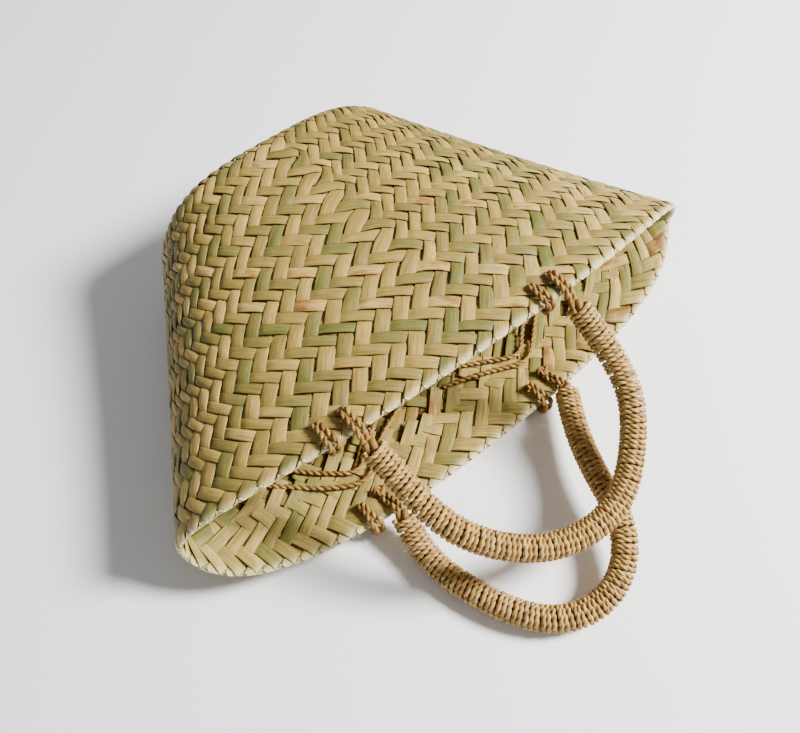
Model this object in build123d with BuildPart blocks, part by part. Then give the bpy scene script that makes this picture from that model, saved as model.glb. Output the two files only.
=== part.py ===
# Woven market basket: a soft flared bag plaited from flat rush strips, lying on its back wall.
# X runs along the mouth, Y from the mouth to the base, Z up from the table. Millimetres.
import os
from math import copysign, cos, pi, radians, sin, tan

from build123d import *

os.makedirs("parts", exist_ok=True)

# --- driving dimensions of the bag ---
mouth_half = 181.0  # half the width of the mouth, corner to corner
base_half = 83.0  # half the width of the base
wall_length = 170.0  # from the mouth's corners to the outside of the base
mouth_top = 84.0  # height of the front rim above the table
base_top = 88.0  # height of the front wall at the base
mouth_middle = 36.0  # height at which the mouth's corners fold
base_middle = 16.0  # height at which the base is widest
rest_sag = 3.0  # how far the back wall's curve dips past the table before it is pressed flat
mouth_lift = 0.00145  # the back rim curls up off the table: rise per square millimetre of distance
lift_start = 40.0  # where the back wall starts to curl up
base_round = 12.0  # rounding from the walls into the base
mouth_power = 2.05  # roundness of the section at the mouth: 2 is an ellipse
base_power = 3.2  # roundness of the section at the base: squarer
wall = 2.2  # plaited wall, two strips thick

# --- the mouth's edge, seen from the side ---
front_bow = 25.0  # how far the front rim stands out past the corners
back_bow = 48.5  # how far the back rim stands out past the corners
back_spread = 2.5  # higher keeps the back rim's bow further from the corners
mouth_skew = -0.03  # the left corner sits nearer the base than the right one

# --- the turned-in facing ---
facing_depth = 36.0  # how deep the folded strip ends reach inside
facing_thick = 1.6
facing_gap = 0.3  # between the facing and the wall
facing_set_back = 1.2  # the facing stops this short of the folded edge

# --- cords, knots and handles ---
cord = 3.0  # diameter of the two-ply cord used for loops, ties and stays
cord_gap = 0.4  # between a cord and what it lies on
pair_pitch = cord + cord_gap  # two cords side by side
hole = 9.0  # opening between strips that the cords pass through
hole_depth = 15.0  # from the rim to the middle of the hole
knot_size = 9.0
knot_height = 5.0
tie_offset = 12.0  # from a handle's middle to the ties beside it
tie_bend = 3.0  # corner radius of a tie round the rim
core = 8.4  # diameter of the handle's rope core
handle = 14.8  # diameter over the wrapping
wrap_gap = 0.1  # between the core and the wrapping
wrap_share = 0.008  # share of the handle's length left bare at each end
front_left_x = -81.0  # where the four handle ends leave the rim
front_right_x = 54.0
back_left_x = -74.0
back_right_x = 49.0
front_start = (-6.5, -3.5)  # a front end's place from the rim, along Y and Z
back_start = (-2.0, 0.9 + handle / 2)  # a back end's place from the rim
hinge_lift = cord / 2 + cord_gap  # the handle turns about the cords where they cross the rim

# Bends of the two handles: X, Y and the share of the way from their lowest to their highest.
# The back handle lies on the table and climbs on its right, where the front one rests on it.
back_low = handle / 2 + 0.5
back_rise = 12.0
back_bends = ((-77, -68, 0.0), (-69, -105, 0.0), (-46, -137, 0.06), (-16, -142, 0.45),
              (7, -124, 0.95), (18, -98, 1.0), (32, -69, 0.8))
crossing_gap = 0.8
front_low = back_low + back_rise + 1.06 * handle + crossing_gap
front_bends = ((-78, -45, 0.72), (-72, -75, 0.43), (-55, -98, 0.17), (-28, -114, 0.0),
               (6, -116, 0.0), (34, -100, 0.18), (50, -80, 0.42), (55, -54, 0.70))

# Routes of the stay cords inside, each a doubled-back V whose point is held under a knot: X, Y, Z.
stays = {
    "back_left_outer_stay": ((-124, 21, 14.0), (-109, 7, 12.6), (-92, -8, 12.2), (-74, -17, 12.0),
                             (-58, -2, 8.4), (-40, 7, 6.4), (-21, 14, 6.0)),
    "back_left_inner_stay": ((-112, 26, 11.4), (-100, 13, 10.8), (-88, 1, 10.8), (-74, -9.5, 11.0),
                             (-61, 3, 8.0), (-48, 11, 6.4), (-36, 20, 6.0)),
    "back_right_outer_stay": ((-1, 5, 6.0), (15, 0, 6.8), (32, -8, 8.0), (49, -17, 10.4),
                              (65, -4, 9.2), (81, 9, 8.6), (96, 22, 9.0)),
    "back_right_inner_stay": ((15, 10, 6.0), (26, 4, 6.8), (37, -3, 7.6), (49, -9.5, 9.2),
                              (61, 2, 8.2), (73, 12, 7.6), (85, 23, 7.6)),
    "front_left_outer_stay": ((-128, 37, 60.4), (-112, 24, 66.4), (-96, 12, 69.6), (-81, 4, 71.6),
                              (-66, 18, 74.2), (-50, 32, 76.4), (-35, 45, 78.2)),
    "front_left_inner_stay": ((-118, 45, 63.4), (-106, 33, 67.6), (-94, 22, 70.0), (-81, 12, 71.8),
                              (-69, 24, 74.0), (-57, 35, 76.0), (-45, 47, 77.6)),
    "front_right_outer_stay": ((8, 38, 78.8), (23, 24, 77.6), (38, 9, 76.0), (54, -4, 74.4),
                               (69, 9, 73.6), (84, 22, 72.4), (99, 35, 69.8)),
    "front_right_inner_stay": ((17, 43, 78.8), (29, 29, 77.4), (41, 16, 76.0), (54, 4, 74.6),
                               (66, 16, 74.2), (78, 28, 73.2), (90, 40, 71.6)),
}


# --- the bag's shape as functions of place, shared by everything that sits on it ---
def blend(start, end, y):
    """A size at distance y from the corners, straight from its mouth value to its base value."""
    return start + (end - start) * y / wall_length


def fold_height(y):
    """Height of the side folds above the table."""
    return blend(mouth_middle, base_middle, y)


def roundness(y):
    return blend(mouth_power, base_power, max(y, 0))


def underside(y, inset):
    """Height of the back wall's middle before it is pressed flat."""
    return inset - rest_sag + mouth_lift * max(lift_start - y, 0) ** 2


def section_point(angle, y, inset):
    """A point of the rounded section at y, going round by angle."""
    power = 2 / roundness(y)
    across = copysign(abs(cos(angle)) ** power, cos(angle))
    up = copysign(abs(sin(angle)) ** power, sin(angle))
    x = (blend(mouth_half, base_half, y) - inset) * across
    fold = fold_height(y)
    top = blend(mouth_top, base_top, y) - inset
    bottom = underside(y, inset)
    return x, fold + up * ((top - fold) if up > 0 else (fold - bottom))


def wall_height(x, y, side, inset):
    """Height of the front wall (side 1) or the back wall (side -1) over this place."""
    across = min(abs(x) / (blend(mouth_half, base_half, y) - inset), 1)
    up = (1 - across ** roundness(y)) ** (1 / roundness(y))
    fold = fold_height(y)
    if side > 0:
        return fold + up * (blend(mouth_top, base_top, y) - inset - fold)
    return max(fold - up * (fold - underside(y, inset)), inset)


def rim_setting(x, z):
    """How far towards Y the rim is at this place, from the corners' chord."""
    fold = mouth_middle
    skew = mouth_skew * x
    if z > fold:
        share = min((z - fold) / (mouth_top - fold), 1.1)
        return skew - front_bow * share**2
    share = min((fold - z) / fold, 1)
    return skew * (1 - share) - back_bow * sin(pi / 2 * share) ** back_spread


def rim_point(x, side):
    """Where the rim is over x, on the outside of the front wall (1) or the back wall (-1)."""
    y = 0.0
    for _ in range(12):
        z = wall_height(x, y, side, 0)
        y = rim_setting(x, z)
    return Vector(x, y, z)


# --- solids that cut and fill the bag ---
section_points = 20
mouth_reach = -62.0  # the bag is drawn out past its mouth, then cut to the rim
wall_sections = 5
round_steps = 4
round_share = 0.9  # the base's edge turns in by this share of its rounding


def bag_sections(inset):
    """Distance from the corners and inset of each section, with the rounding into the base."""
    start = wall_length - base_round
    walls = [mouth_reach + (start - mouth_reach) * k / (wall_sections - 1) for k in range(wall_sections)]
    turns = [pi / 2 * k / round_steps for k in range(1, round_steps + 1)]
    radius = base_round - inset
    rounded = [(start + radius * sin(a), inset + radius * (1 - cos(a)) * round_share) for a in turns]
    return [(y, inset) for y in walls] + rounded


def bag_section(y, inset):
    """The rounded outline of the bag at y, as a face across its length."""
    turns = [2 * pi * (k + 0.5) / section_points for k in range(section_points)]
    steps = [k / section_points for k in range(section_points + 1)]
    outline = Edge.make_spline([section_point(a, y, inset) for a in turns], periodic=True, parameters=steps)
    with BuildSketch(Plane.XZ.offset(-y)) as section:
        with BuildLine():
            add(outline)
        make_face()
    return section.sketch.face()


def bag_solid(inset):
    """The bag's filled shape, inset evenly from its outside and pressed flat underneath."""
    sections = [bag_section(y, section_inset) for y, section_inset in bag_sections(inset)]
    with BuildPart() as filled:
        loft(sections[:wall_sections])
        loft(sections[wall_sections - 1:])
        split(bisect_by=Plane.XY.offset(inset), keep=Keep.TOP)
    return filled.part


def mouth_cutter(shift):
    """Everything in front of the rim, moved towards the base by shift."""
    far = mouth_half * 1.3
    above = 1.35 * mouth_top
    with BuildPart() as cutter:
        fold = mouth_middle
        for x in (-far, far):
            with BuildSketch(Plane.YZ.offset(x)):
                with BuildLine():
                    lows = [fold * (k / 6) for k in range(7)]
                    highs = [fold + (mouth_top - fold) * (k / 6) for k in range(7)]
                    low = Spline(*[(rim_setting(x, z) + shift, z) for z in lows])
                    high = Spline(*[(rim_setting(x, z + 0.001) + shift, z) for z in highs])
                    front = 2.4 * mouth_reach
                    Polyline(high @ 1, (high @ 1) + Vector(0, above - mouth_top), (front, above),
                             (front, -above), (low @ 0) - Vector(0, above), low @ 0)
                make_face()
        loft(ruled=True)
    return cutter.part


def hole_place(x, side):
    """Middle of a cord hole on the wall's outside, and how high the rim is there."""
    rim = rim_point(x, side)
    y = rim.Y + hole_depth
    return Vector(x, y, wall_height(x, y, side, 0))


anchors = {
    "front_left": (front_left_x, 1),
    "front_right": (front_right_x, 1),
    "back_left": (back_left_x, -1),
    "back_right": (back_right_x, -1),
}

with BuildPart() as cord_holes:
    for hole_x, hole_side in anchors.values():
        middle = hole_place(hole_x - (tie_offset + pair_pitch / 2) / 2, hole_side)
        with BuildSketch(Plane.XY.offset(middle.Z - knot_size)):
            with Locations((middle.X, middle.Y)):
                SlotOverall(tie_offset + pair_pitch + hole, hole)
        extrude(amount=2 * knot_size)

with BuildPart() as plaited_shell:
    add(bag_solid(0))
    add(bag_solid(wall), mode=Mode.SUBTRACT, clean=False)
    add(mouth_cutter(0), mode=Mode.SUBTRACT, clean=False)
    add(cord_holes.part, mode=Mode.SUBTRACT, clean=False)
plaited_shell.part.label = "plaited_shell"
export_step(plaited_shell.part, "parts/plaited_shell.step")

with BuildPart() as turned_in_facing:
    add(bag_solid(wall + facing_gap))
    add(mouth_cutter(facing_depth), mode=Mode.INTERSECT, clean=False)
    add(bag_solid(wall + facing_gap + facing_thick), mode=Mode.SUBTRACT, clean=False)
    add(mouth_cutter(facing_set_back), mode=Mode.SUBTRACT, clean=False)
    add(cord_holes.part, mode=Mode.SUBTRACT, clean=False)
turned_in_facing.part.label = "turned_in_facing"
export_step(turned_in_facing.part, "parts/turned_in_facing.step")


# --- the handles ---
def handle_line(left, right, start, side, low, bends):
    """The middle line of a handle, from its left end round to its right end."""
    ends = [rim_point(x, side) + Vector(0, *start) for x in (left, right)]
    high = [end.Z - low if side > 0 else back_rise for end in ends]
    middle = len(bends) / 2
    rises = [high[0] if k < middle else high[1] for k in range(len(bends))]
    inner = [Vector(x, y, low + share * rise) for (x, y, share), rise in zip(bends, rises)]
    return Edge.make_spline([ends[0], *inner, ends[1]])


def disc(line, share, radius):
    """A round face across a line at a share of its length."""
    with BuildSketch(Plane(line.position_at(share), z_dir=line.tangent_at(share))) as face:
        Circle(radius)
    return face.sketch


front_line = handle_line(front_left_x, front_right_x, front_start, 1, front_low, front_bends)
back_line = handle_line(back_left_x, back_right_x, back_start, -1, back_low, back_bends)

for name, line in (("front", front_line), ("back", back_line)):
    with BuildPart() as handle_core:
        sweep(disc(line, 0, core / 2), path=line)
    handle_core.part.label = f"{name}_handle_core"
    export_step(handle_core.part, f"parts/{name}_handle_core.step")

    wrapped = line.trim(wrap_share, 1 - wrap_share)
    with BuildPart() as handle_wrap:
        sweep(disc(wrapped, 0, handle / 2), path=wrapped)
        sweep(disc(wrapped, 0, core / 2 + wrap_gap), path=wrapped, mode=Mode.SUBTRACT)
    handle_wrap.part.label = f"{name}_handle_wrap"
    export_step(handle_wrap.part, f"parts/{name}_handle_wrap.step")
    print(name, "handle", round(line.length, 1), "mm along its middle")

# --- what holds each handle end to the rim ---
line_ends = {
    "front_left": (front_line.position_at(0), -front_line.tangent_at(0)),
    "front_right": (front_line.position_at(1), front_line.tangent_at(1)),
    "back_left": (back_line.position_at(0), -back_line.tangent_at(0)),
    "back_right": (back_line.position_at(1), back_line.tangent_at(1)),
}
skin = wall + facing_gap + facing_thick  # from the wall's outside to the facing's inside

for name, (x, side) in anchors.items():
    rim = rim_point(x, side)
    hole_middle = hole_place(x, side)
    lying = cord / 2 + cord_gap
    end, outward = line_ends[name]
    beside = outward.cross(Vector(0, 0, 1)).normalized() * (-pair_pitch)
    end += outward * (cord / 2 + cord_gap)

    # the two cords that run from the hole over the rim into the handle's end
    with BuildPart() as end_loop:
        for k in (-0.5, 0.5):
            across = x + k * pair_pitch
            if side > 0:
                over = lying + 0.5
                points = [
                    (across, hole_middle.Y - 1, wall_height(x, hole_middle.Y, side, 0) - wall - 2),
                    (across, hole_middle.Y - 1, wall_height(x, hole_middle.Y, side, 0) + over),
                    (across, rim.Y - 0.6, rim.Z + over),
                    end - beside * k,
                ]
            else:
                inside = rim.Z + skin + lying
                points = [
                    (across, hole_middle.Y - knot_size / 2 - 1, hole_middle.Z + skin + knot_height / 2),
                    (across, rim.Y + 3, inside + 0.3),
                    end - beside * k,
                ]
            with BuildLine() as route:
                FilletPolyline(*points, radius=cord / 2 + 0.25)
            path = route.wire()
            sweep(disc(path, 0, cord / 2), path=path)
    end_loop.part.label = f"{name}_end_loop"
    export_step(end_loop.part, f"parts/{name}_end_loop.step")

    # the two ties beside them: closed rings through the hole and round the rim
    with BuildPart() as rim_ties:
        for k in (0, 1):
            tie_x = x - tie_offset - k * pair_pitch
            tie_rim = rim_point(tie_x, side)
            clear = cord / 2 + 2 * cord_gap
            near, far = tie_rim.Y - clear, hole_place(tie_x, side).Y - 1
            heights = [wall_height(tie_x, y, side, 0) for y in (tie_rim.Y, far)]
            outside = (max(heights) if side > 0 else min(heights)) + side * clear
            inside = (min(heights) if side > 0 else max(heights)) - side * (skin + clear)
            with BuildLine(Plane.YZ.offset(tie_x)) as ring:
                FilletPolyline((near, outside), (far, outside), (far, inside), (near, inside),
                               radius=tie_bend, close=True)
            path = ring.wire()
            sweep(disc(path, 0, cord / 2), path=path)
    rim_ties.part.label = f"{name}_rim_ties"
    export_step(rim_ties.part, f"parts/{name}_rim_ties.step")

    # the knot that stops the cords on the inside
    knot_base = hole_middle.Z - side * (skin + cord_gap)
    with BuildPart() as knot:
        with BuildSketch(Plane.XY.offset(knot_base)):
            with Locations((x, hole_middle.Y)):
                Circle(knot_size / 2)
        extrude(amount=-side * knot_height)
        fillet(knot.edges(), radius=0.45 * knot_height)
    knot.part.label = f"{name}_knot"
    export_step(knot.part, f"parts/{name}_knot.step")


# --- the stay cords ---
def bend_radius(before, corner, after):
    """Radius of an arc that takes just under half of the shorter run at this corner."""
    first, second = corner - before, after - corner
    turn = radians(first.get_angle(second))
    return 0.45 * min(first.length, second.length) / tan(turn / 2)


for name, route_points in stays.items():
    route_points = [Vector(*p) for p in route_points]
    corners = zip(route_points, route_points[1:], route_points[2:])
    radii = [bend_radius(*corner) for corner in corners]
    with BuildPart() as stay:
        with BuildLine() as route:
            FilletPolyline(*route_points, radius=radii)
        path = route.wire()
        sweep(disc(path, 0, cord / 2), path=path)
    stay.part.label = name
    export_step(stay.part, f"parts/{name}.step")
    print(name, "length", round(path.length, 1), "radii", [round(r, 1) for r in radii])

# --- the hinge lines, for the record ---
for name, left, right, side in (("front", front_left_x, front_right_x, 1),
                                ("back", back_left_x, back_right_x, -1)):
    lift = hinge_lift if side > 0 else 0
    first, last = [rim_point(x, side) + Vector(0, 0, lift) for x in (left, right)]
    print(name, "hinge through", (first + last) / 2, "along", (last - first).normalized())
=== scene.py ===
import bpy
import numpy as np
from mathutils import Matrix, Vector


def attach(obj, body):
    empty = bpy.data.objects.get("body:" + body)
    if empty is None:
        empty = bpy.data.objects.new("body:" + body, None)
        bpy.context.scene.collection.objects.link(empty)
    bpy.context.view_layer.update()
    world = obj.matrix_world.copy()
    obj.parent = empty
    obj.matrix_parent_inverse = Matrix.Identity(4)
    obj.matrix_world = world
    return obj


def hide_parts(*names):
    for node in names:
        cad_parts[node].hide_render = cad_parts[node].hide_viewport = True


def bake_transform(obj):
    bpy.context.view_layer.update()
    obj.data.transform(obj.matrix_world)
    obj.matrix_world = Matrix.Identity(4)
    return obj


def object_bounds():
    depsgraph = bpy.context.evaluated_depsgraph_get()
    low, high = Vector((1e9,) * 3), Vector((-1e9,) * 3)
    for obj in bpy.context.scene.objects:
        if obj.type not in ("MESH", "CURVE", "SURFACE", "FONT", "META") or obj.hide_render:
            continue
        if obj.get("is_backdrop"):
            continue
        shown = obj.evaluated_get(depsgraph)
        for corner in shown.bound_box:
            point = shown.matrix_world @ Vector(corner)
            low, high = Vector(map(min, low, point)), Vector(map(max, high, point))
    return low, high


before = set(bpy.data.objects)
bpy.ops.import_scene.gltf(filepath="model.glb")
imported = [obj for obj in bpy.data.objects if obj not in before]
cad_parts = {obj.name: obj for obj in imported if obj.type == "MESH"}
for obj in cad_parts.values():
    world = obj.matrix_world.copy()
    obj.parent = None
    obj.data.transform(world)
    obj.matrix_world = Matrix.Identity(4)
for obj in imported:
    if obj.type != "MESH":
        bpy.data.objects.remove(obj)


def writeBounds(key, table):
    low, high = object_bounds()
    table[key] = [list(map(float, low)), list(map(float, high))]


sizes = {}
writeBounds("cad", sizes)


def toLinear(hexColour):
    # sRGB hex to linear light
    parts = np.array([int(hexColour[k:k + 2], 16) for k in (1, 3, 5)]) / 255
    linear = np.where(parts <= 0.04045, parts / 12.92, ((parts + 0.055) / 1.055) ** 2.4)
    return (*map(float, linear), 1.0)


def addNode(tree, kind, settings=None, links=None):
    # a node with its own settings, its unlinked inputs and its links, by name or by number
    node = tree.nodes.new(kind)
    for name, value in (settings or {}).items():
        if isinstance(name, int) or name in node.inputs:
            node.inputs[name].default_value = value
        else:
            setattr(node, name, value)
    for name, source in (links or {}).items():
        tree.links.new(source, node.inputs[name])
    return node


def unit(v):
    # each vector divided by its own length
    return v / np.maximum(np.linalg.norm(v, axis=-1, keepdims=True), 1e-12)


def tubeFaces(rings, around, count, closed=False):
    # quads of count separate tubes, each with its rings of points, and a cap at both ends if it is open
    lengths = rings if closed else rings - 1
    ring, spoke = np.meshgrid(np.arange(lengths), np.arange(around), indexing="ij")
    after, following = (spoke + 1) % around, (ring + 1) % rings
    quads = np.stack([ring * around + spoke, ring * around + after,
                      following * around + after, following * around + spoke], -1).reshape(-1, 4)
    starts = np.arange(count) * rings * around
    sides = (quads[None] + starts[:, None, None]).reshape(-1, 4).tolist()
    if closed:
        return sides
    front = starts[:, None] + np.arange(around)[::-1]
    back = starts[:, None] + (rings - 1) * around + np.arange(around)
    return sides + front.tolist() + back.tolist()


def addTubes(name, body, material, strands, closed=False):
    # strands: points in metres as tube, ring, place round the ring, xyz; with their UV and tones
    points, uv, attributes = strands
    count, rings, around, _ = points.shape
    mesh = bpy.data.meshes.new(name)
    mesh.from_pydata(points.reshape(-1, 3).tolist(), [], tubeFaces(rings, around, count, closed))
    mesh.update()
    for key, values in attributes.items():
        layer = mesh.attributes.new(key, "FLOAT", "POINT")
        layer.data.foreach_set("value", np.ascontiguousarray(values, np.float32).ravel())
    layer = mesh.uv_layers.new(name="UVMap")
    corners = np.empty(len(mesh.loops), int)
    mesh.loops.foreach_get("vertex_index", corners)
    layer.data.foreach_set("uv", uv.reshape(-1, 2).astype(np.float32)[corners].ravel())
    mesh.polygons.foreach_set("use_smooth", np.ones(len(mesh.polygons), bool))
    mesh.materials.append(material)
    piece = bpy.data.objects.new(name, mesh)
    bpy.context.scene.collection.objects.link(piece)
    if body:
        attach(piece, body)
    return piece


rushFinish = {
    "roughness": 0.55, "ior": 1.45, "specular": 0.4,
    "folded": "#eadca4",  # painted highlight: pale where a strip folds over the rim
    "fibreLength": 20.0,  # mm
    "patch": (0.12, 0.045), "patchWeight": 0.8, "patchShift": 0.4,  # per mm across and along
    "lightest": 1.15, "fibreLow": 0.32, "fibreHigh": 0.68,
    "bump": 0.8, "bumpDepth": 0.00025,  # m
}


def driedRush(name, colours, darkest, fibre):
    # dried rush: matt and faintly waxy, with long fibres; each strip has its own tone, blotched along it
    material = bpy.data.materials.new(name)
    material.use_nodes = True
    tree = material.node_tree
    shader = tree.nodes["Principled BSDF"]
    shader.inputs["Roughness"].default_value = rushFinish["roughness"]
    shader.inputs["IOR"].default_value = rushFinish["ior"]
    shader.inputs["Specular IOR Level"].default_value = rushFinish["specular"]
    tone = addNode(tree, "ShaderNodeAttribute", {"attribute_name": "tone"})
    foldHighlight = addNode(tree, "ShaderNodeAttribute", {"attribute_name": "foldHighlight"})
    uv = addNode(tree, "ShaderNodeUVMap")
    # UV runs in millimetres, across and then along; fibres are drawn wider than real, to show
    stretched = addNode(tree, "ShaderNodeMapping", {"Scale": (1 / fibre, 1 / rushFinish["fibreLength"], 1.0)},
                        {"Vector": uv.outputs["UV"]})
    fibres = addNode(tree, "ShaderNodeTexNoise", {"Scale": 1.0, "Detail": 4.0, "Roughness": 0.7},
                     {"Vector": stretched.outputs["Vector"]})
    blotch = addNode(tree, "ShaderNodeMapping", {"Scale": (*rushFinish["patch"], 1.0)},
                     {"Vector": uv.outputs["UV"]})
    patches = addNode(tree, "ShaderNodeTexNoise", {"Scale": 1.0, "Detail": 3.0, "Roughness": 0.6},
                      {"Vector": blotch.outputs["Vector"]})
    mixed = addNode(tree, "ShaderNodeMath", {"operation": "MULTIPLY_ADD", 1: rushFinish["patchWeight"]},
                    {0: patches.outputs["Fac"], 2: tone.outputs["Fac"]})
    centred = addNode(tree, "ShaderNodeMath", {"operation": "SUBTRACT", 1: rushFinish["patchShift"]},
                      {0: mixed.outputs["Value"]})
    ramp = addNode(tree, "ShaderNodeValToRGB", {}, {"Fac": centred.outputs["Value"]})
    stops = ramp.color_ramp.elements
    stops[0].position, stops[1].position = colours[0][0], colours[-1][0]
    stops[0].color, stops[1].color = toLinear(colours[0][1]), toLinear(colours[-1][1])
    for place, colour in colours[1:-1]:
        stops.new(place).color = toLinear(colour)
    shade = addNode(tree, "ShaderNodeMapRange",
                    {"From Min": rushFinish["fibreLow"], "From Max": rushFinish["fibreHigh"],
                     "To Min": darkest, "To Max": rushFinish["lightest"]},
                    {"Value": fibres.outputs["Fac"]})
    tinted = addNode(tree, "ShaderNodeVectorMath", {"operation": "SCALE"},
                     {0: ramp.outputs["Color"], "Scale": shade.outputs["Result"]})
    # a painted highlight, mixed in where the strips fold over the rim
    folded = addNode(tree, "ShaderNodeMix", {"data_type": "RGBA", 7: toLinear(rushFinish["folded"])},
                     {0: foldHighlight.outputs["Fac"], 6: tinted.outputs["Vector"]})
    bump = addNode(tree, "ShaderNodeBump",
                   {"Strength": rushFinish["bump"], "Distance": rushFinish["bumpDepth"]},
                   {"Height": fibres.outputs["Fac"]})
    tree.links.new(folded.outputs[2], shader.inputs["Base Color"])
    tree.links.new(bump.outputs["Normal"], shader.inputs["Normal"])
    return material


wallRush = driedRush("dried rush, flattened and plaited", [
    (0.0, "#6b6a2e"), (0.2, "#837436"), (0.4, "#99803c"), (0.6, "#ab8e45"), (0.8, "#bea158"),
    (0.92, "#98682e"), (1.0, "#70441d")], darkest=0.55, fibre=0.9)
facingRush = driedRush("dried rush, cut ends turned in", [
    (0.0, "#7a7836"), (0.25, "#988744"), (0.5, "#b2984f"), (0.75, "#c9b165"), (0.9, "#a27335"),
    (1.0, "#7c4c1f")], darkest=0.5, fibre=0.9)
wrapRush = driedRush("rush cord, two ply, wound on the handles", [
    (0.0, "#976c33"), (0.3, "#b58a47"), (0.55, "#caa25c"), (0.8, "#dab873"), (1.0, "#a07034")],
    darkest=0.5, fibre=0.4)
loopRush = driedRush("rush cord, two ply, browned at the rim", [
    (0.0, "#6a4a1c"), (0.3, "#8c642a"), (0.6, "#a67c38"), (1.0, "#be964c")],
    darkest=0.5, fibre=0.4)

bag = {
    "mouthHalf": 181.0, "baseHalf": 83.0, "length": 170.0,  # mm, as the frame's wall
    "mouthTop": 84.0, "baseTop": 88.0, "mouthMiddle": 36.0, "baseMiddle": 16.0,
    "restSag": 3.0, "mouthLift": 0.00145, "liftStart": 40.0, "baseRound": 12.0, "roundShare": 0.9,
    "mouthPower": 2.05, "basePower": 3.2,
    "frontBow": 25.0, "backBow": 48.5, "backSpread": 2.5, "mouthSkew": -0.03,
    "squeezeMouth": 0.04, "squeezeBase": 0.30,  # the strips crowd together at the side folds
    "pastMouth": -0.3,  # the sizes run on this share of the length past the mouth
}
aroundSteps, downSteps = 960, 260
settleRounds = 12


def along(start, end, y):
    # a size that changes evenly from the mouth, where y is 0, to the base
    return start + (end - start) * y / bag["length"]


def sectionPoint(angle, y, inset):
    # rounded section: |x/half|^n + |z/reach|^n = 1, taken from the height of the side folds
    power = along(bag["mouthPower"], bag["basePower"], np.maximum(y, 0))
    across = np.sign(np.cos(angle)) * np.abs(np.cos(angle)) ** (2 / power)
    up = np.sign(np.sin(angle)) * np.abs(np.sin(angle)) ** (2 / power)
    x = (along(bag["mouthHalf"], bag["baseHalf"], y) - inset) * across
    fold = along(bag["mouthMiddle"], bag["baseMiddle"], y)
    top = along(bag["mouthTop"], bag["baseTop"], y) - inset
    bottom = inset - bag["restSag"] + bag["mouthLift"] * np.maximum(bag["liftStart"] - y, 0) ** 2
    z = fold + up * np.where(up > 0, top - fold, fold - bottom)
    return x, np.maximum(z, inset)


def rimSetting(x, z):
    # the rim's place along Y: it bows out with the square of the height above the folds,
    # and with a power of the sine of the depth below them
    fold = bag["mouthMiddle"]
    high = np.clip((z - fold) / (bag["mouthTop"] - fold), 0, 1.1)
    low = np.clip((fold - z) / fold, 0, 1)
    skew = bag["mouthSkew"] * x
    front = skew - bag["frontBow"] * high ** 2
    back = skew * (1 - low) - bag["backBow"] * np.sin(np.pi / 2 * low) ** bag["backSpread"]
    return np.where(z > fold, front, back)


def wallHeight(x, y, side):
    # height of the outside of the front wall (side 1) or the back wall (side -1)
    power = along(bag["mouthPower"], bag["basePower"], max(y, 0))
    across = min(abs(x) / along(bag["mouthHalf"], bag["baseHalf"], y), 1)
    angle = np.arccos(across ** (power / 2))
    return float(sectionPoint(side * angle, y, 0.0)[1])


def rimPoint(x, side):
    # the rim's height and its place along Y follow from each other, so each is worked out in turn
    y = 0.0
    for _ in range(settleRounds):
        z = wallHeight(x, y, side)
        y = float(rimSetting(x, z))
    return np.array([x, y, z])


def evenAngles(y, squeeze):
    # angles that step evenly along the outline, from the left fold over the front, except that
    # the steps are shorter at the two folds:
    # share of strips = share of run + squeeze sin(4 pi run) / (4 pi)
    fine = np.linspace(np.pi, -np.pi, 4001)
    x, z = sectionPoint(fine, y, 0.0)
    run = np.concatenate([[0], np.cumsum(np.hypot(np.diff(x), np.diff(z)))])
    share = run / run[-1]
    strips = share + squeeze * np.sin(4 * np.pi * share) / (4 * np.pi)
    return np.interp(np.linspace(0, 1, aroundSteps + 1), strips, fine), run[-1]


def bagGrid():
    # one point for each step round and down: straight along Y, then round the base's edge
    mouthAngles, mouthRun = evenAngles(0.0, bag["squeezeMouth"])
    baseAngles, baseRun = evenAngles(bag["length"] - bag["baseRound"], bag["squeezeBase"])
    share = np.linspace(0, 1, downSteps + 1)[None, :]
    y = np.zeros((aroundSteps + 1, 1))
    for _ in range(8):  # as for a rim point, in turns
        mix = np.clip(y / bag["length"], bag["pastMouth"], 1)
        x, z = sectionPoint(mouthAngles[:, None] * (1 - mix) + baseAngles[:, None] * mix, y, 0.0)
        y = rimSetting(x, z)
    straight = bag["length"] - bag["baseRound"] - y
    run = share * (straight + bag["baseRound"] * np.pi / 2)
    turn = np.clip((run - straight) / bag["baseRound"], 0, np.pi / 2)
    yAll = y + np.minimum(run, straight) + bag["baseRound"] * np.sin(turn)
    inset = bag["baseRound"] * (1 - np.cos(turn)) * bag["roundShare"]
    mix = np.clip(yAll / bag["length"], bag["pastMouth"], 1)
    x, z = sectionPoint(mouthAngles[:, None] * (1 - mix) + baseAngles[:, None] * mix, yAll, inset)
    return np.stack([x, yAll, z], -1), mouthRun, baseRun


grid, mouthRun, baseRun = bagGrid()
alongRound = np.gradient(np.concatenate([grid[-3:-1], grid, grid[1:3]]), axis=0)[2:-2]
gridNormal = unit(np.cross(alongRound, np.gradient(grid, axis=1)))
gridNormal *= np.sign(gridNormal[aroundSteps // 4, downSteps // 2, 2])
print("bag surface laid out, mouth", round(mouthRun), "mm round, base", round(baseRun))


def sampleGrid(values, around, down):
    # bilinear reading of the grid, around in turns and down from 0 at the rim to 1 at the base
    a = np.mod(around, 1.0) * aroundSteps
    d = np.clip(down, 0, 1) * downSteps
    a0 = np.minimum(np.floor(a).astype(int), aroundSteps - 1)
    d0 = np.minimum(np.floor(d).astype(int), downSteps - 1)
    fa, fd = (a - a0)[..., None], (d - d0)[..., None]
    return ((values[a0, d0] * (1 - fa) + values[a0 + 1, d0] * fa) * (1 - fd)
            + (values[a0, d0 + 1] * (1 - fa) + values[a0 + 1, d0 + 1] * fa) * fd)


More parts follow.
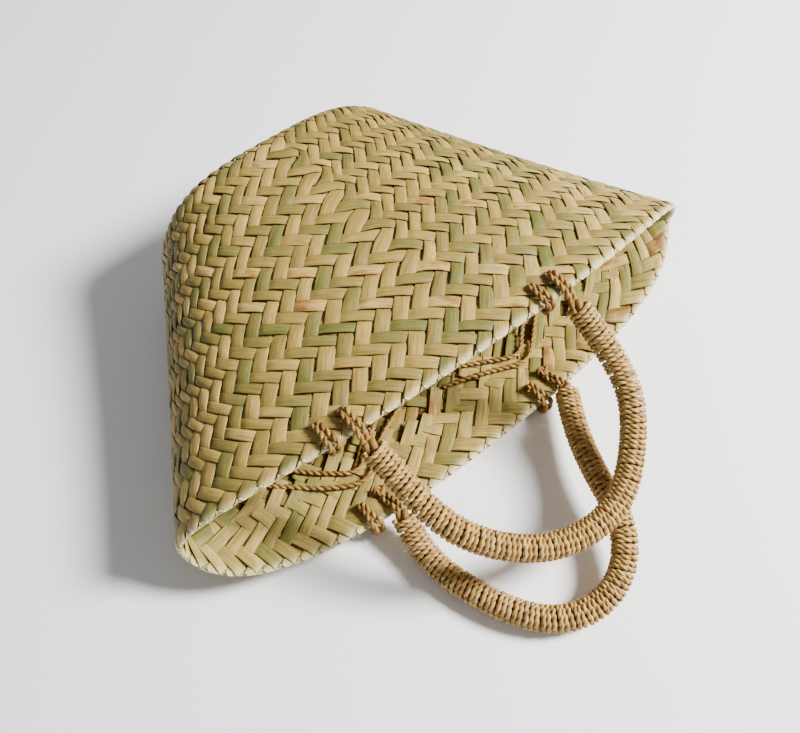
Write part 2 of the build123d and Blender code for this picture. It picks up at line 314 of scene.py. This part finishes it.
plait = {
    "strips": 70,  # of each direction, round the mouth
    "halfWidth": 0.241,  # of the cell; 0.25 would leave no gap
    "narrowest": 0.93, "widest": 1.03, "edgeWave": 0.05,  # how much the strips' widths differ
    "shift": 0.014, "slowWave": 0.016, "quickWave": 0.010,  # how far they wander sideways, in cells
    "thickness": 0.65, "lift": 0.76, "crown": 0.62, "tilt": 0.42,  # mm
    "oval": 0.55,  # below 1 flattens the strip's oval
    "perCell": 4, "pointsAcross": 8,
    "wallMiddle": 1.35, "facingMiddle": 3.5,  # mm inside the outer surface
    "foldRound": 1.7, "foldSoft": 0.55,  # mm, and a share of it
    "foldHighlightMost": 0.75, "foldHighlightReach": 0.22,  # the painted highlight along the fold over the rim, its reach in cells
    "uvHalf": 3.5, "uvApart": 37.0,  # mm
    "slant": 1.414,  # a strip is root two longer than the rows that it crosses
    "toneRange": 0.86, "brownedAbove": 0.94, "browned": 0.25,
}
facing = {
    "rows": 3.9, "ragged": 1.0, "loose": 2.2,  # cells, cells and mm
    "looseFrom": 1.4, "looseOver": 1.9,  # cells below the rim
    "layers": 0.6, "flatter": 0.6, "fan": 0.30,
}
cellAtMouth = mouthRun / plait["strips"]
wallTotal = float(np.linalg.norm(np.diff(grid[aroundSteps // 4], axis=0), axis=1).sum())


def rowDepths():
    # rows stay about as tall as they are wide in the middle of a wall: ds/drow = cell(s)
    share = np.linspace(0, 1, 400)
    cell = cellAtMouth * (1 - (1 - baseRun / mouthRun / (1 - 0.8 * bag["squeezeBase"])) * share)
    steps = np.diff(share) * wallTotal / ((cell[1:] + cell[:-1]) / 2)
    return np.concatenate([[0], np.cumsum(steps)]), share


rowTable, shareTable = rowDepths()
lastRow = rowTable[-1]
print("rows of plait", round(lastRow, 1))


def stripShape(row, index, direction, seed):
    # a strip's wandering edge and its height: over two of the other strips and under two,
    # height = cos(pi/2 (2 row - 1/2)), with a crowned oval of eight points across it
    n = len(index)
    wander = seed.uniform(0, 2 * np.pi, (n, 4))
    width = plait["halfWidth"] * (seed.uniform(plait["narrowest"], plait["widest"], (n, 1))
                                  + plait["edgeWave"] * np.sin(row * 1.1 + wander[:, 3:]))
    wave = np.cos(np.pi / 2 * (2 * row - 0.5)) * direction
    side = (seed.normal(0, plait["shift"], (n, 1)) + plait["slowWave"] * np.sin(row * 0.9 + wander[:, :1])
            + plait["quickWave"] * np.sin(row * 2.3 + wander[:, 1:2]))
    turns = np.linspace(0, 2 * np.pi, plait["pointsAcross"], endpoint=False)
    flat = np.sign(np.cos(turns)) * np.abs(np.cos(turns)) ** plait["oval"]
    delta = side[..., None] + width[..., None] * flat
    tilt = plait["tilt"] * np.sin(row * 1.7 + wander[:, 2:3]) * seed.uniform(0.2, 1.0, (n, 1))
    height = plait["lift"] * np.clip(1.3 * wave, -1, 1)
    lift = (height[..., None] + plait["thickness"] / 2 * np.sin(turns) + tilt[..., None] * flat
            + plait["crown"] * (1 - flat ** 2) * np.sign(wave)[..., None] * 0.6)
    return delta, lift, flat


def stripLooks(row, index, flat, lengths, seed, cell):
    # UV in millimetres and a tone for each strip; a few are browned
    n = len(index)
    across = np.broadcast_to(flat * plait["uvHalf"], lengths) + index[..., None] * plait["uvApart"]
    down = np.broadcast_to(row[..., None] * cell * plait["slant"], lengths)
    tone = (seed.beta(1.5, 1.6, (n, 1, 1)) * plait["toneRange"]
            + (seed.uniform(0, 1, (n, 1, 1)) > plait["brownedAbove"]) * plait["browned"])
    return np.stack([across, down], -1), np.broadcast_to(tone, lengths)


def wallStrips(direction, rowsTo, loose=0.0, ragged=0.0):
    # each strip runs one step round for one row down, and folds over the rim at row 0;
    # below 0 it is on the inside, where its far end lies loose
    seed = np.random.default_rng(5 if direction > 0 else 6)
    index = np.arange(plait["strips"])[:, None]
    steps = int(abs(rowsTo) * 2 * plait["perCell"]) + 1
    ends = rowsTo + ragged * seed.uniform(-1, 1, index.shape)
    row = ends * np.linspace(0, 1, steps)[None, :]
    delta, lift, flat = stripShape(row, index, direction, seed)
    around = index[..., None] + direction * (row[..., None] - delta)
    rowHere = row[..., None] + delta
    signed = rowHere * cellAtMouth
    fold = np.tanh(signed / plait["foldRound"])
    soft = plait["foldSoft"] * plait["foldRound"]
    depth = np.sqrt(signed ** 2 + soft ** 2) - soft
    middle = (plait["wallMiddle"] + plait["facingMiddle"]) / 2
    inset = middle - (plait["facingMiddle"] - plait["wallMiddle"]) / 2 * fold
    if loose:
        far = np.clip((-rowHere - facing["looseFrom"]) / facing["looseOver"], 0, 1)
        hang = loose * seed.uniform(0.1, 1.0, (len(index), 1, 1)) + facing["layers"] * direction
        inset = inset + hang * far ** 2
        lift = lift * (1 - facing["flatter"] * far)
        around = around + seed.normal(0, facing["fan"], (len(index), 1, 1)) * far ** 2
    down = np.interp(depth / cellAtMouth, rowTable, shareTable)
    turn = around / plait["strips"]
    outwards = sampleGrid(gridNormal, turn, down) * (lift * fold - inset)[..., None]
    place = sampleGrid(grid, turn, down) + outwards
    uv, tone = stripLooks(row, index, flat, around.shape, seed, cellAtMouth)
    # painted highlight along the fold over the rim, fading with the rows on either side
    foldHighlight = plait["foldHighlightMost"] * np.exp(-(rowHere / plait["foldHighlightReach"]) ** 2)
    if direction * rowsTo > 0:
        place, uv, tone, foldHighlight = place[:, ::-1], uv[:, ::-1], tone[:, ::-1], foldHighlight[:, ::-1]
    return place / 1000, uv, {"tone": tone, "foldHighlight": foldHighlight}


base = {
    "cell": 9.6, "inset": 2.9, "under": 3.0,  # mm; the strips' ends run under the walls' ones
    "perStrip": 72, "cells": 12, "tries": 100,  # rings in a strip; cells searched each way, and tries in each
    "shortest": 60,  # a strip crosses at least this many tries
    "dip": 1.0, "dipOver": 0.5,  # the ends dip inwards, mm and cells
}


def baseStrips(direction):
    # the flat base: strips at 45 degrees, x = i + q and x = j - q in cells, cut to the rounded outline
    seed = np.random.default_rng(15 if direction > 0 else 16)
    edgeInset = bag["baseRound"] * bag["roundShare"]
    outline = np.linspace(0, 2 * np.pi, 721)
    edgeX, edgeZ = sectionPoint(outline, bag["length"], edgeInset - base["under"])
    middle = (edgeZ.max() + edgeZ.min()) / 2
    reach = int((edgeX.max() + edgeZ.max()) / base["cell"])
    index = np.arange(-reach, reach + 1)
    q = np.linspace(-base["cells"], base["cells"], 2 * base["cells"] * base["tries"] + 1)
    x = (index[:, None] + direction * q) * base["cell"]
    z = middle + q[None, :] * base["cell"]
    fold, power = bag["baseMiddle"], bag["basePower"]
    inner = base["under"] - edgeInset
    rise = np.where(z > fold, bag["baseTop"] + inner - fold, fold - edgeZ.min())
    inside = np.abs(x / (bag["baseHalf"] + inner)) ** power + np.abs((z - fold) / rise) ** power < 1
    kept = inside.sum(1) > base["shortest"]
    index, inside = index[kept][:, None], inside[kept]
    first = q[inside.argmax(1)][:, None]
    last = q[inside.shape[1] - 1 - inside[:, ::-1].argmax(1)][:, None]
    row = first + (last - first) * np.linspace(0, 1, base["perStrip"])[None, :]
    delta, lift, flat = stripShape(row, index, direction, seed)
    px = (index[..., None] + direction * (row[..., None] - delta)) * base["cell"]
    pz = middle + (row[..., None] + delta) * base["cell"]
    ends = np.clip(1 - np.minimum(row - first, last - row) / base["dipOver"], 0, 1)[..., None]
    py = bag["length"] - base["inset"] + lift - base["dip"] * ends
    place = np.stack([px, np.broadcast_to(py, px.shape), pz], -1)
    uv, tone = stripLooks(row, index, flat, px.shape, seed, base["cell"])
    if direction < 0:
        place, uv, tone = place[:, ::-1], uv[:, ::-1], tone[:, ::-1]
    return place / 1000, uv, {"tone": tone, "foldHighlight": np.zeros(px.shape)}


for direction, lean in ((1, "right"), (-1, "left")):
    wallPiece = addTubes(f"wall_{lean}_strips", "basket", wallRush,
                         wallStrips(direction, lastRow))
    facingPiece = addTubes(f"facing_{lean}_strips", "basket", facingRush,
                           wallStrips(direction, -facing["rows"], facing["loose"], facing["ragged"]))
    addTubes(f"base_{lean}_strips", "basket", wallRush, baseStrips(direction))
    if direction > 0:
        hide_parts("plaited_shell")
        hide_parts("turned_in_facing")
print("walls, facing and base plaited")


def smoothLine(points, step):
    # natural cubic spline through the points, with their spacing as its parameter, read every step mm
    points = np.asarray(points, float)
    knots = np.concatenate([[0], np.cumsum(np.linalg.norm(np.diff(points, axis=0), axis=1))])
    gaps, n = np.diff(knots), len(points)
    system, right = np.eye(n), np.zeros((n, 3))
    inner = np.arange(1, n - 1)
    system[inner, inner - 1] = gaps[:-1]
    system[inner, inner] = 2 * (gaps[:-1] + gaps[1:])
    system[inner, inner + 1] = gaps[1:]
    slopes = np.diff(points, axis=0) / gaps[:, None]
    right[1:-1] = 6 * np.diff(slopes, axis=0)
    bends = np.linalg.solve(system, right)
    at = np.linspace(0, knots[-1], 1200)
    k = np.clip(np.searchsorted(knots, at, "right") - 1, 0, n - 2)
    h, left, rest = gaps[k][:, None], (at - knots[k])[:, None], (knots[k + 1] - at)[:, None]
    line = ((bends[k] * rest ** 3 + bends[k + 1] * left ** 3) / (6 * h)
            + (points[k] / h - bends[k] * h / 6) * rest + (points[k + 1] / h - bends[k + 1] * h / 6) * left)
    return evenLine(line, step)


def evenLine(line, step):
    # points at even distances along the line, about step mm apart
    run = np.concatenate([[0], np.cumsum(np.linalg.norm(np.diff(line, axis=0), axis=1))])
    at = np.linspace(0, run[-1], max(int(run[-1] / step), 8) + 1)
    return np.stack([np.interp(at, run, line[:, k]) for k in range(3)], -1)


def lineFrames(line, closed=False):
    # directions along the line and two across it that turn with it but don't spin
    if closed:
        ahead = unit(np.roll(line, -1, axis=0) - np.roll(line, 1, axis=0))
    else:
        ahead = unit(np.gradient(line, axis=0))
    start = np.cross(ahead[0], (0.31, 0.2, 0.93))
    across = [start / np.linalg.norm(start)]
    for t in ahead[1:]:
        side = across[-1] - (across[-1] @ t) * t
        across.append(side / np.linalg.norm(side))
    across = np.array(across)
    if closed:
        # spread the leftover turn over the ring, so that it closes
        second = np.cross(ahead, across)
        gap = np.arctan2(across[0] @ second[-1], across[0] @ across[-1])
        spin = (gap * np.arange(len(line)) / len(line))[:, None]
        across = np.cos(spin) * across + np.sin(spin) * second
    return ahead, across, np.cross(ahead, across)


def strandTubes(centres, sideA, sideB, radius, seed, around=8):
    # round tubes of one radius about the centres, with UV in millimetres and a tone that drifts along
    turns = np.linspace(0, 2 * np.pi, around, endpoint=False)[:, None]
    points = (centres[..., None, :] + radius * (np.cos(turns) * sideA[..., None, :]
                                                + np.sin(turns) * sideB[..., None, :]))
    steps = np.linalg.norm(np.diff(centres, axis=1), axis=-1)
    run = np.concatenate([np.zeros((len(centres), 1)), np.cumsum(steps, axis=1)], 1)
    shape = points.shape[:-1]
    across = np.broadcast_to(turns[:, 0] * radius, shape) + np.arange(len(centres))[:, None, None] * 23.0
    uv = np.stack([across, np.broadcast_to(run[..., None], shape)], -1)
    phase = seed.uniform(0, 2 * np.pi, (len(centres), 1))
    tone = 0.5 + 0.2 * np.sin(run / 17 + phase) + 0.16 * np.sin(run / 5.3 + 2 * phase)
    return points / 1000, uv, {"tone": np.broadcast_to(tone[..., None], shape), "foldHighlight": np.zeros(shape)}


def twisted(line, diameter, pitch, seed, plies=2, closed=False):
    # plies that wind round the line once in each pitch: centre = line + offset (cos, sin)(2 pi run / pitch)
    ahead, across, second = lineFrames(line, closed)
    steps = np.linalg.norm(np.diff(line, axis=0, append=line[:1] if closed else line[-1:]), axis=1)
    run = np.concatenate([[0], np.cumsum(steps)[:-1]])
    total = steps.sum()
    turnsPerMm = max(round(total / pitch), 1) / total if closed else 1 / pitch
    angle = (2 * np.pi * run * turnsPerMm)[None, :] + 2 * np.pi * np.arange(plies)[:, None] / plies
    share = plyOffsets[plies]
    out = np.cos(angle)[..., None] * across + np.sin(angle)[..., None] * second
    centres = line + diameter * share * out
    sideB = np.cross(np.broadcast_to(ahead, out.shape), out)
    return strandTubes(centres, out, sideB, diameter * (0.5 - share), seed)


cordSet = {"diameter": 3.0, "loop": 3.5, "gap": 0.4, "pitch": 8.0, "step": 0.7}  # mm
holdSet = {
    "hole": 15.0,  # from the rim to the hole, mm
    "skin": 4.1, "tieOffset": 12.0, "tieCorner": 4.0, "tieSway": 0.5,
    "knotHeight": 5.0, "knotCord": 2.6, "knotPitch": 7.0,
    "frontLeft": -81.0, "frontRight": 54.0, "backLeft": -74.0, "backRight": 49.0,
    "frontStart": (-6.5, -3.5), "backStart": (-2.0, 8.3),
}
handleSet = {
    "diameter": 14.8, "cord": 2.9, "turn": 2.75, "pitch": 7.5,  # mm
    "plyOffset": 0.17, "plyRadius": 0.33,  # shares of the cord: the plies press into each other
    "core": 8.4, "corePitch": 34.0, "coreStep": 2.0,
    "bare": 0.008, "step": 0.75,
    "sway": 0.12, "quiver": 0.08, "sink": 0.1,  # mm by which the turns are uneven, and lie in
}
plyOffsets = {2: 0.19, 3: 0.25}  # shares of the diameter, for two plies and three
pairPitch = cordSet["diameter"] + cordSet["gap"]
backLow = handleSet["diameter"] / 2 + 0.5
backRise = 12.0
frontLow = backLow + backRise + 1.06 * handleSet["diameter"] + 0.8
backBends = ((-77, -68, 0.0), (-69, -105, 0.0), (-46, -137, 0.06), (-16, -142, 0.45),
             (7, -124, 0.95), (18, -98, 1.0), (32, -69, 0.8))
frontBends = ((-78, -45, 0.72), (-72, -75, 0.43), (-55, -98, 0.17), (-28, -114, 0.0),
              (6, -116, 0.0), (34, -100, 0.18), (50, -80, 0.42), (55, -54, 0.70))


def handleLine(left, right, start, side, low, bends):
    # from the left end round to the right one: each bend's height is a share of its end's height over low
    ends = [rimPoint(x, side) + np.array([0, *start]) for x in (left, right)]
    rises = [end[2] - low if side > 0 else backRise for end in ends]
    middle = len(bends) / 2
    inner = [(x, y, low + share * rises[0 if k < middle else 1]) for k, (x, y, share) in enumerate(bends)]
    return smoothLine([ends[0], *inner, ends[1]], 0.25)


def woundCord(line, seed):
    # a two-ply cord wound round the handle: its middle runs at one radius and climbs one turn's width
    # for each turn, and the plies circle it once in each pitch
    ahead, across, second = lineFrames(line)
    length = np.linalg.norm(np.diff(line, axis=0), axis=1).sum()
    bare = handleSet["bare"] * length + handleSet["cord"] / 2
    turns = (length - 2 * bare) / handleSet["turn"]
    radius = (handleSet["diameter"] - handleSet["cord"]) / 2
    cordLength = turns * 2 * np.pi * radius
    share = np.linspace(0, 1, int(cordLength / handleSet["step"]))
    at = (bare + share * (length - 2 * bare)) / length * (len(line) - 1)
    k = np.minimum(at.astype(int), len(line) - 2)
    f = (at - k)[:, None]
    middle, t, n, b = [v[k] * (1 - f) + v[k + 1] * f for v in (line, ahead, across, second)]
    theta = (2 * np.pi * turns * share)[:, None]
    out = unit(np.cos(theta) * n + np.sin(theta) * b)
    wobble = handleSet["sway"] * np.sin(theta * 0.37) + handleSet["quiver"] * np.sin(theta * 1.71)
    centre = middle + (radius + 0.6 * wobble - handleSet["sink"]) * out + wobble * 2.0 * t
    phase = 2 * np.pi * cordLength * share / handleSet["pitch"]
    angle = phase[None, :, None] + np.pi * np.arange(2)[:, None, None]
    sideA = np.cos(angle) * unit(t) + np.sin(angle) * out
    sideB = -np.sin(angle) * unit(t) + np.cos(angle) * out
    centres = centre + handleSet["cord"] * handleSet["plyOffset"] * sideA
    return strandTubes(centres, sideA, sideB, handleSet["cord"] * handleSet["plyRadius"], seed)


handleLines = {
    "front": handleLine(holdSet["frontLeft"], holdSet["frontRight"], holdSet["frontStart"], 1,
                        frontLow, frontBends),
    "back": handleLine(holdSet["backLeft"], holdSet["backRight"], holdSet["backStart"], -1,
                       backLow, backBends),
}
for name, line in handleLines.items():
    seed = np.random.default_rng(31 if name == "front" else 32)
    wrap = addTubes(f"{name}_wound_cord", f"{name}_handle", wrapRush, woundCord(line, seed))
    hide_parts(f"{name}_handle_wrap")
    rope = addTubes(f"{name}_rope_core", f"{name}_handle", loopRush,
                    twisted(evenLine(line, handleSet["coreStep"]), handleSet["core"],
                            handleSet["corePitch"], seed, 3))
    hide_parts(f"{name}_handle_core")
print("handles wound")


def knotLine(middle, side):
    # a trefoil, the shape of a pulled-tight overhand knot: (sin t + 2 sin 2t, cos t - 2 cos 2t, -sin 3t)
    t = np.linspace(0, 2 * np.pi, 90, endpoint=False)
    shape = np.stack([np.sin(t) + 2 * np.sin(2 * t), np.cos(t) - 2 * np.cos(2 * t), -np.sin(3 * t)], -1)
    return middle + shape * np.array([1.0, 1.0, 1.1 * side])


def roundedLoop(near, far, low, high, corner, x):
    # a rounded rectangle in the plane across the rim: four quarter circles, joined by straight runs
    quarter = np.linspace(0, np.pi / 2, 7)
    corners = ((far - corner, high - corner, 0), (near + corner, high - corner, 1),
               (near + corner, low + corner, 2), (far - corner, low + corner, 3))
    parts = [np.stack([np.full(len(quarter), x), y + corner * np.cos(quarter + q * np.pi / 2),
                       z + corner * np.sin(quarter + q * np.pi / 2)], -1) for y, z, q in corners]
    line = np.concatenate([*parts, parts[0][:1]])
    return evenLine(line, cordSet["step"])[:-1]


def joinStrands(cords):
    # the plies of several cords as one set, each cut to the shortest one's number of rings
    rings = min(cord[0].shape[1] for cord in cords)
    points, uv = [np.concatenate([cord[part][:, :rings] for cord in cords]) for part in (0, 1)]
    tones = {key: np.concatenate([cord[2][key][:, :rings] for cord in cords]) for key in ("tone", "foldHighlight")}
    return points, uv, tones


# the middle of each handle end along X, the side of the bag, and which end of the handle's line it is
anchors = {
    "front_left": (holdSet["frontLeft"], 1, 0), "front_right": (holdSet["frontRight"], 1, -1),
    "back_left": (holdSet["backLeft"], -1, 0), "back_right": (holdSet["backRight"], -1, -1),
}
for number, (name, (x, side, end)) in enumerate(anchors.items()):
    seed = np.random.default_rng(40 + number)
    half = name.split("_")[0]
    rim = rimPoint(x, side)
    holeY = rim[1] + holdSet["hole"]
    holeZ = wallHeight(x, holeY, side)
    lying = cordSet["diameter"] / 2 + cordSet["gap"]
    line = handleLines[half]
    inwards = unit(line[8] - line[0]) if end == 0 else unit(line[-9] - line[-1])
    beside = unit(np.cross(inwards, (0, 0, 1))) * pairPitch * 0.8
    if beside[0] < 0:
        beside = -beside
    loops = []
    for k in (-0.5, 0.5):
        over = x + k * pairPitch
        into = line[end] + beside * k
        if side > 0:
            onWall = wallHeight(x, rim[1] + 4, 1) + lying + 0.7
            route = [(over, holeY + 1, holeZ - holdSet["skin"] - 1), (over, holeY - 1.2, holeZ - 0.5),
                     (over, holeY - 3.5, holeZ + lying + 0.6), (over, rim[1] + 4, onWall),
                     (over, rim[1] - 1.5, rim[2] + lying - 0.4), into - inwards * 1.0, into + inwards * 5]
        else:
            inside = rim[2] + holdSet["skin"] + lying
            route = [(over, holeY - 3, holeZ + holdSet["skin"] + 2.0), (over, rim[1] + 5, inside + 0.2),
                     into - inwards * 1.0, into + inwards * 5]
        loops.append(twisted(smoothLine(route, cordSet["step"]), cordSet["loop"], cordSet["pitch"], seed))
    loopPiece = addTubes(f"{name}_loop_cords", None, loopRush, joinStrands(loops))
    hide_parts(f"{name}_end_loop")
    if side > 0:
        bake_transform(loopPiece)
    else:
        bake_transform(loopPiece)
    for k in (0, 1):
        tieX = x - holdSet["tieOffset"] - k * pairPitch
        tieRim = rimPoint(tieX, side)
        clear = cordSet["diameter"] / 2 + 2 * cordSet["gap"]
        near, far = tieRim[1] - clear, tieRim[1] + holdSet["hole"] - 1
        heights = [wallHeight(tieX, y, side) for y in (tieRim[1], far)]
        outer = (max(heights) if side > 0 else min(heights)) + side * clear
        inner = (min(heights) if side > 0 else max(heights)) - side * (holdSet["skin"] + clear)
        ring = roundedLoop(near, far, min(outer, inner), max(outer, inner), holdSet["tieCorner"], tieX)
        ring[:, 0] += holdSet["tieSway"] * np.sin(np.linspace(0, 4 * np.pi, len(ring))) * (1 if k else -1)
        tie = addTubes(f"{name}_tie_{k + 1}", "basket", loopRush,
                       twisted(ring, cordSet["loop"], cordSet["pitch"], seed, closed=True), closed=True)
        if k == 0:
            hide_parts(f"{name}_rim_ties")
    below = holdSet["skin"] + cordSet["gap"] + holdSet["knotHeight"] / 2
    middle = np.array([x, holeY, holeZ - side * below])
    knot = addTubes(f"{name}_tied_knot", "basket", loopRush,
                    twisted(knotLine(middle, side), holdSet["knotCord"], holdSet["knotPitch"], seed,
                            closed=True), closed=True)
    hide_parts(f"{name}_knot")
print("loops, ties and knots made")

# the stay cords inside: the length of each and the points it is led by, in metres
stays = {
    "back_left_outer_stay": (0.1235, (
        (-0.124, 0.021, 0.014), (-0.109, 0.007, 0.0126), (-0.092, -0.008, 0.0122), (-0.074, -0.017, 0.012),
        (-0.058, -0.002, 0.0084), (-0.04, 0.007, 0.0064), (-0.021, 0.014, 0.006))),
    "back_left_inner_stay": (0.098, (
        (-0.112, 0.026, 0.0114), (-0.1, 0.013, 0.0108), (-0.088, 0.001, 0.0108), (-0.074, -0.0095, 0.011),
        (-0.061, 0.003, 0.008), (-0.048, 0.011, 0.0064), (-0.036, 0.02, 0.006))),
    "back_right_outer_stay": (0.114, (
        (-0.001, 0.005, 0.006), (0.015, 0, 0.0068), (0.032, -0.008, 0.008), (0.049, -0.017, 0.0104),
        (0.065, -0.004, 0.0092), (0.081, 0.009, 0.0086), (0.096, 0.022, 0.009))),
    "back_right_inner_stay": (0.0862, (
        (0.015, 0.01, 0.006), (0.026, 0.004, 0.0068), (0.037, -0.003, 0.0076), (0.049, -0.0095, 0.0092),
        (0.061, 0.002, 0.0082), (0.073, 0.012, 0.0076), (0.085, 0.023, 0.0076))),
    "front_left_outer_stay": (0.1188, (
        (-0.128, 0.037, 0.0604), (-0.112, 0.024, 0.0664), (-0.096, 0.012, 0.0696), (-0.081, 0.004, 0.0716),
        (-0.066, 0.018, 0.0742), (-0.05, 0.032, 0.0764), (-0.035, 0.045, 0.0782))),
    "front_left_inner_stay": (0.0984, (
        (-0.118, 0.045, 0.0634), (-0.106, 0.033, 0.0676), (-0.094, 0.022, 0.07), (-0.081, 0.012, 0.0718),
        (-0.069, 0.024, 0.074), (-0.057, 0.035, 0.076), (-0.045, 0.047, 0.0776))),
    "front_right_outer_stay": (0.1193, (
        (0.008, 0.038, 0.0788), (0.023, 0.024, 0.0776), (0.038, 0.009, 0.076), (0.054, -0.004, 0.0744),
        (0.069, 0.009, 0.0736), (0.084, 0.022, 0.0724), (0.099, 0.035, 0.0698))),
    "front_right_inner_stay": (0.1019, (
        (0.017, 0.043, 0.0788), (0.029, 0.029, 0.0774), (0.041, 0.016, 0.076), (0.054, 0.004, 0.0746),
        (0.066, 0.016, 0.0742), (0.078, 0.028, 0.0732), (0.09, 0.04, 0.0716))),
}


def stayCord(name, points, seed):
    # a two-ply cord whose middle is the smooth NURBS line that its points lead
    data = bpy.data.curves.new(name, "CURVE")
    data.dimensions = "3D"
    data.resolution_u = 24
    spline = data.splines.new("NURBS")
    spline.points.add(len(points) - 1)
    spline.points.foreach_set("co", np.array([(*p, 1.0) for p in points], np.float32).ravel())
    spline.order_u = 3
    spline.use_endpoint_u = True
    guide = bpy.data.objects.new(name + "_guide", data)
    drawn = bpy.data.meshes.new_from_object(guide)
    path = np.empty(len(drawn.vertices) * 3, np.float32)
    drawn.vertices.foreach_get("co", path)
    path = path.reshape(-1, 3).astype(float)
    bpy.data.objects.remove(guide)
    bpy.data.meshes.remove(drawn)
    line = evenLine(path * 1000, cordSet["step"])
    stay = addTubes(f"{name}_cord", "basket", loopRush,
                    twisted(line, cordSet["diameter"], cordSet["pitch"], seed))
    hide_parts(name)


for number, (name, (length, points)) in enumerate(stays.items()):
    stayCord(name, points, np.random.default_rng(60 + number))
print("stay cords laid")

stageSet = {"floor": "#fdfdfc", "reach": 4, "level": -0.0002, "world": "#f2f4f8", "worldStrength": 0.36}
light = {"azimuth": 52.0, "elevation": 43.0, "distance": 1.6, "size": 0.5, "power": 92.0,
         "target": (0, 0.03, 0.03)}
cameraSet = {"azimuth": -41.15, "elevation": 56.87, "roll": 0.96, "distance": 0.5155,
             "lens": 38.64465, "sensor": 36,  # mm
             "target": (-0.01077, 0.03271, 0.00507)}

sweep = bpy.data.materials.new("matt white paper sweep")
sweep.use_nodes = True
paper = sweep.node_tree.nodes["Principled BSDF"]
paper.inputs["Base Color"].default_value = toLinear(stageSet["floor"])
paper.inputs["Roughness"].default_value = 0.8
floorMesh = bpy.data.meshes.new("floor")
reach, level = stageSet["reach"], stageSet["level"]
floorMesh.from_pydata([(-reach, -reach, level), (reach, -reach, level), (reach, reach, level),
                       (-reach, reach, level)], [], [(0, 1, 2, 3)])
floorMesh.materials.append(sweep)
floor = bpy.data.objects.new("floor", floorMesh)
bpy.context.scene.collection.objects.link(floor)
floor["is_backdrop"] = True


def towards(azimuth, elevation):
    # unit vector from the basket outwards: azimuth 0 is in front, along -Y, and 90 along +X
    a, e = np.radians([azimuth, elevation])
    return np.array([np.sin(a) * np.cos(e), -np.cos(a) * np.cos(e), np.sin(e)])


keyData = bpy.data.lights.new("key", "AREA")
keyData.energy, keyData.size, keyData.shape = light["power"], light["size"], "DISK"
key = bpy.data.objects.new("key", keyData)
bpy.context.scene.collection.objects.link(key)
aim = Vector(light["target"])
key.location = aim + Vector(towards(light["azimuth"], light["elevation"]) * light["distance"])
key.rotation_euler = (aim - key.location).to_track_quat("-Z", "Y").to_euler()

world = bpy.data.worlds.new("studio")
bpy.context.scene.world = world
world.use_nodes = True
background = world.node_tree.nodes["Background"]
background.inputs["Color"].default_value = toLinear(stageSet["world"])
background.inputs["Strength"].default_value = stageSet["worldStrength"]

cameraData = bpy.data.cameras.new("camera")
cameraData.sensor_width = cameraSet["sensor"]
cameraData.lens = cameraSet["lens"]
camera = bpy.data.objects.new("camera", cameraData)
bpy.context.scene.collection.objects.link(camera)
back = towards(cameraSet["azimuth"], cameraSet["elevation"])
camera.location = Vector(np.array(cameraSet["target"]) + back * cameraSet["distance"])
camera.rotation_mode = "QUATERNION"
camera.rotation_quaternion = (Vector(-back).to_track_quat("-Z", "Y")
                              @ Matrix.Rotation(np.radians(cameraSet["roll"]), 3, "Z").to_quaternion())
bpy.context.scene.camera = camera

writeBounds("shown", sizes)
print("shown", sizes["shown"])
